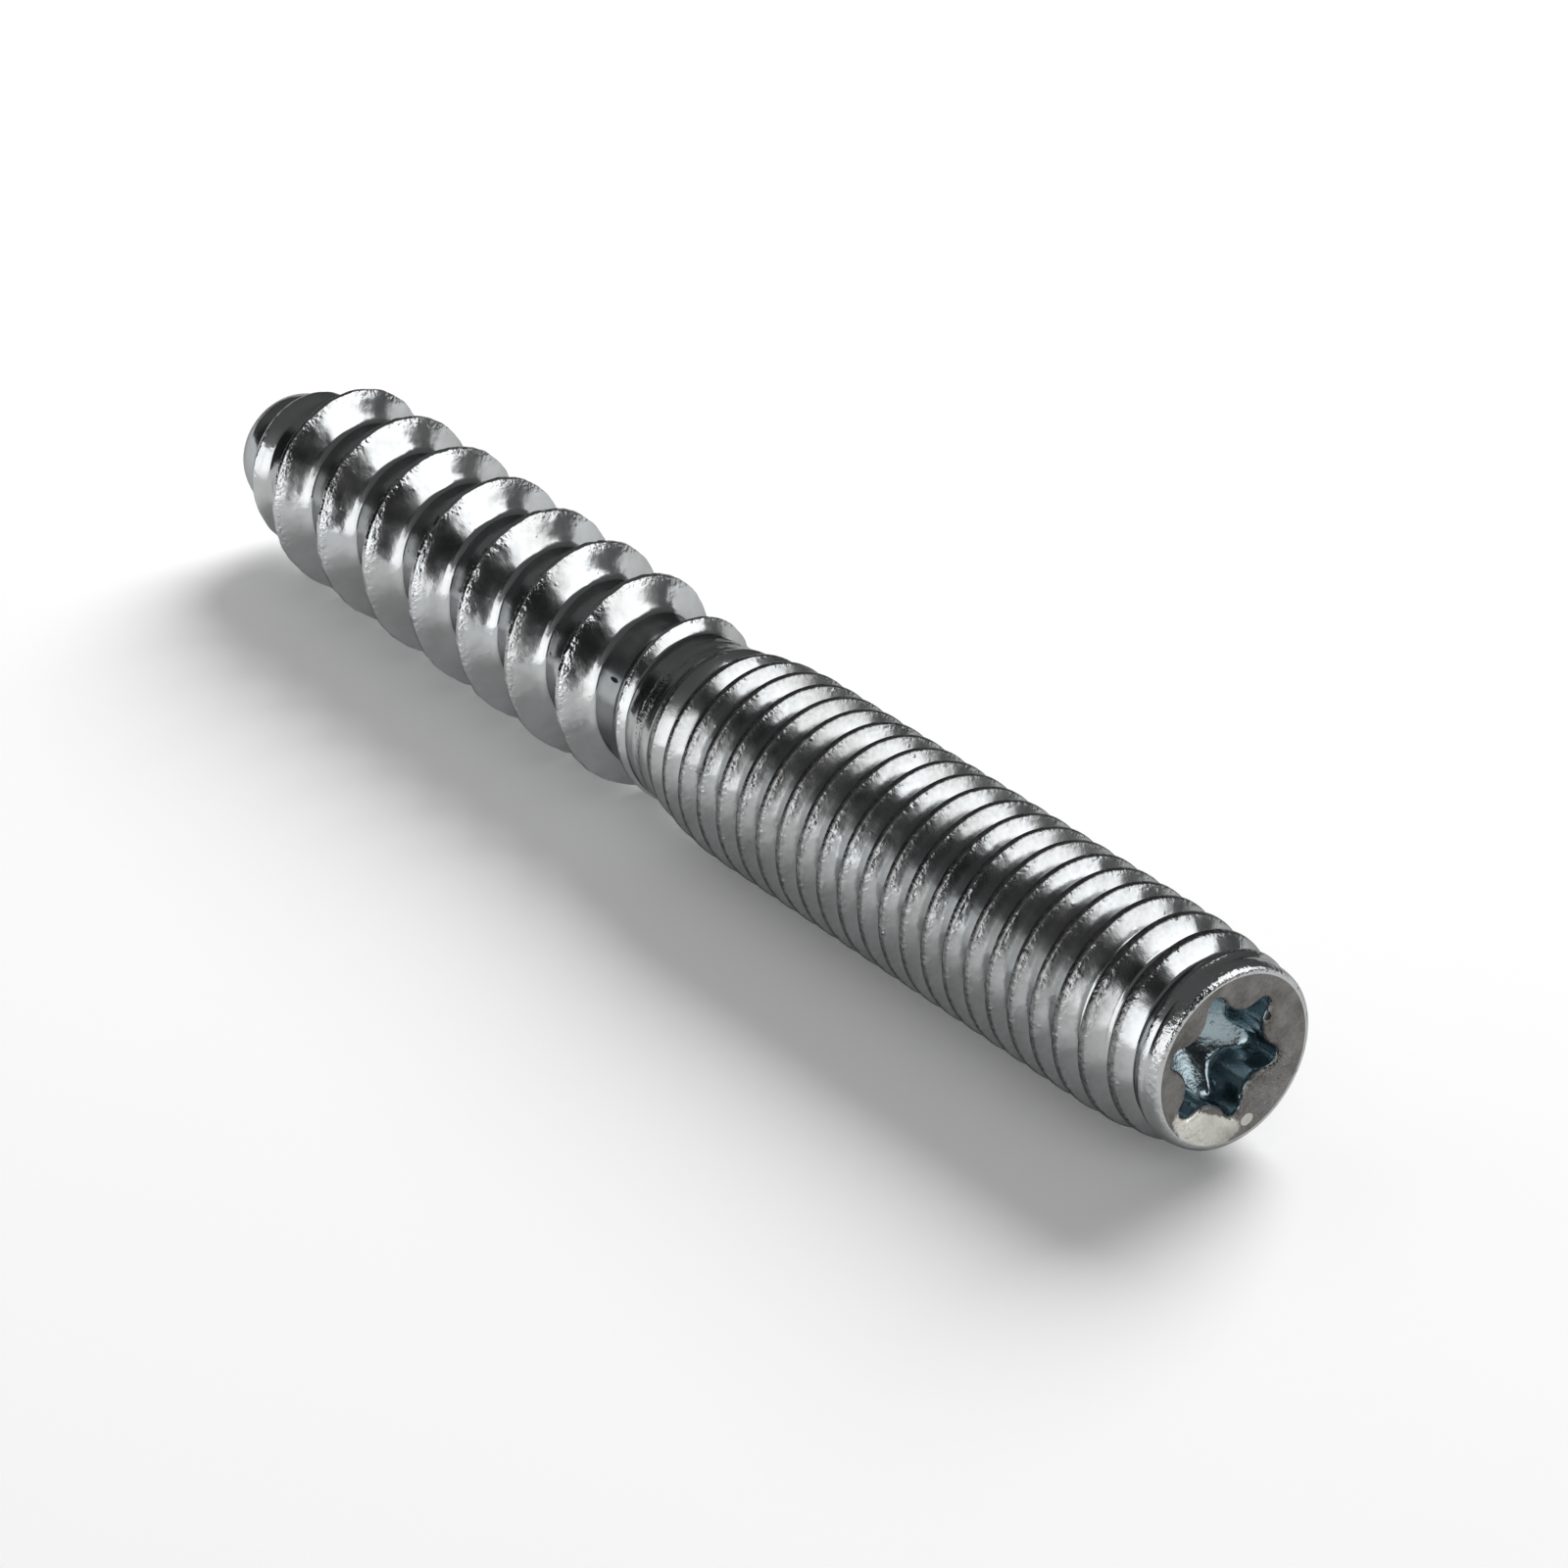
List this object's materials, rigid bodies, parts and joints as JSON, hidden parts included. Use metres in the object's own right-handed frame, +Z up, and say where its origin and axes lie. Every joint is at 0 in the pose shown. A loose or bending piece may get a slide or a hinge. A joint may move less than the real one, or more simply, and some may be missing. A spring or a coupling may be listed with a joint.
{
  "type": "hanger bolt",
  "caption": "Zinc-plated steel hanger bolt: machine thread with a six-lobe socket in its end, short neck, coarse wood screw thread and blunt cone point, lying on its side.",
  "frame": {"origin": "on the surface the bolt lies on, below the middle of its length", "axes": "+X along the bolt towards the machine end with the socket, +Z up"},
  "size_m": [0.075, 0.0106, 0.0101],
  "materials": {
    "zinc_plated_steel": "bright zinc plating over rolled steel"
  },
  "bodies": {
    "root": {"hanger_bolt": "zinc_plated_steel"}
  },
  "joints": []
}
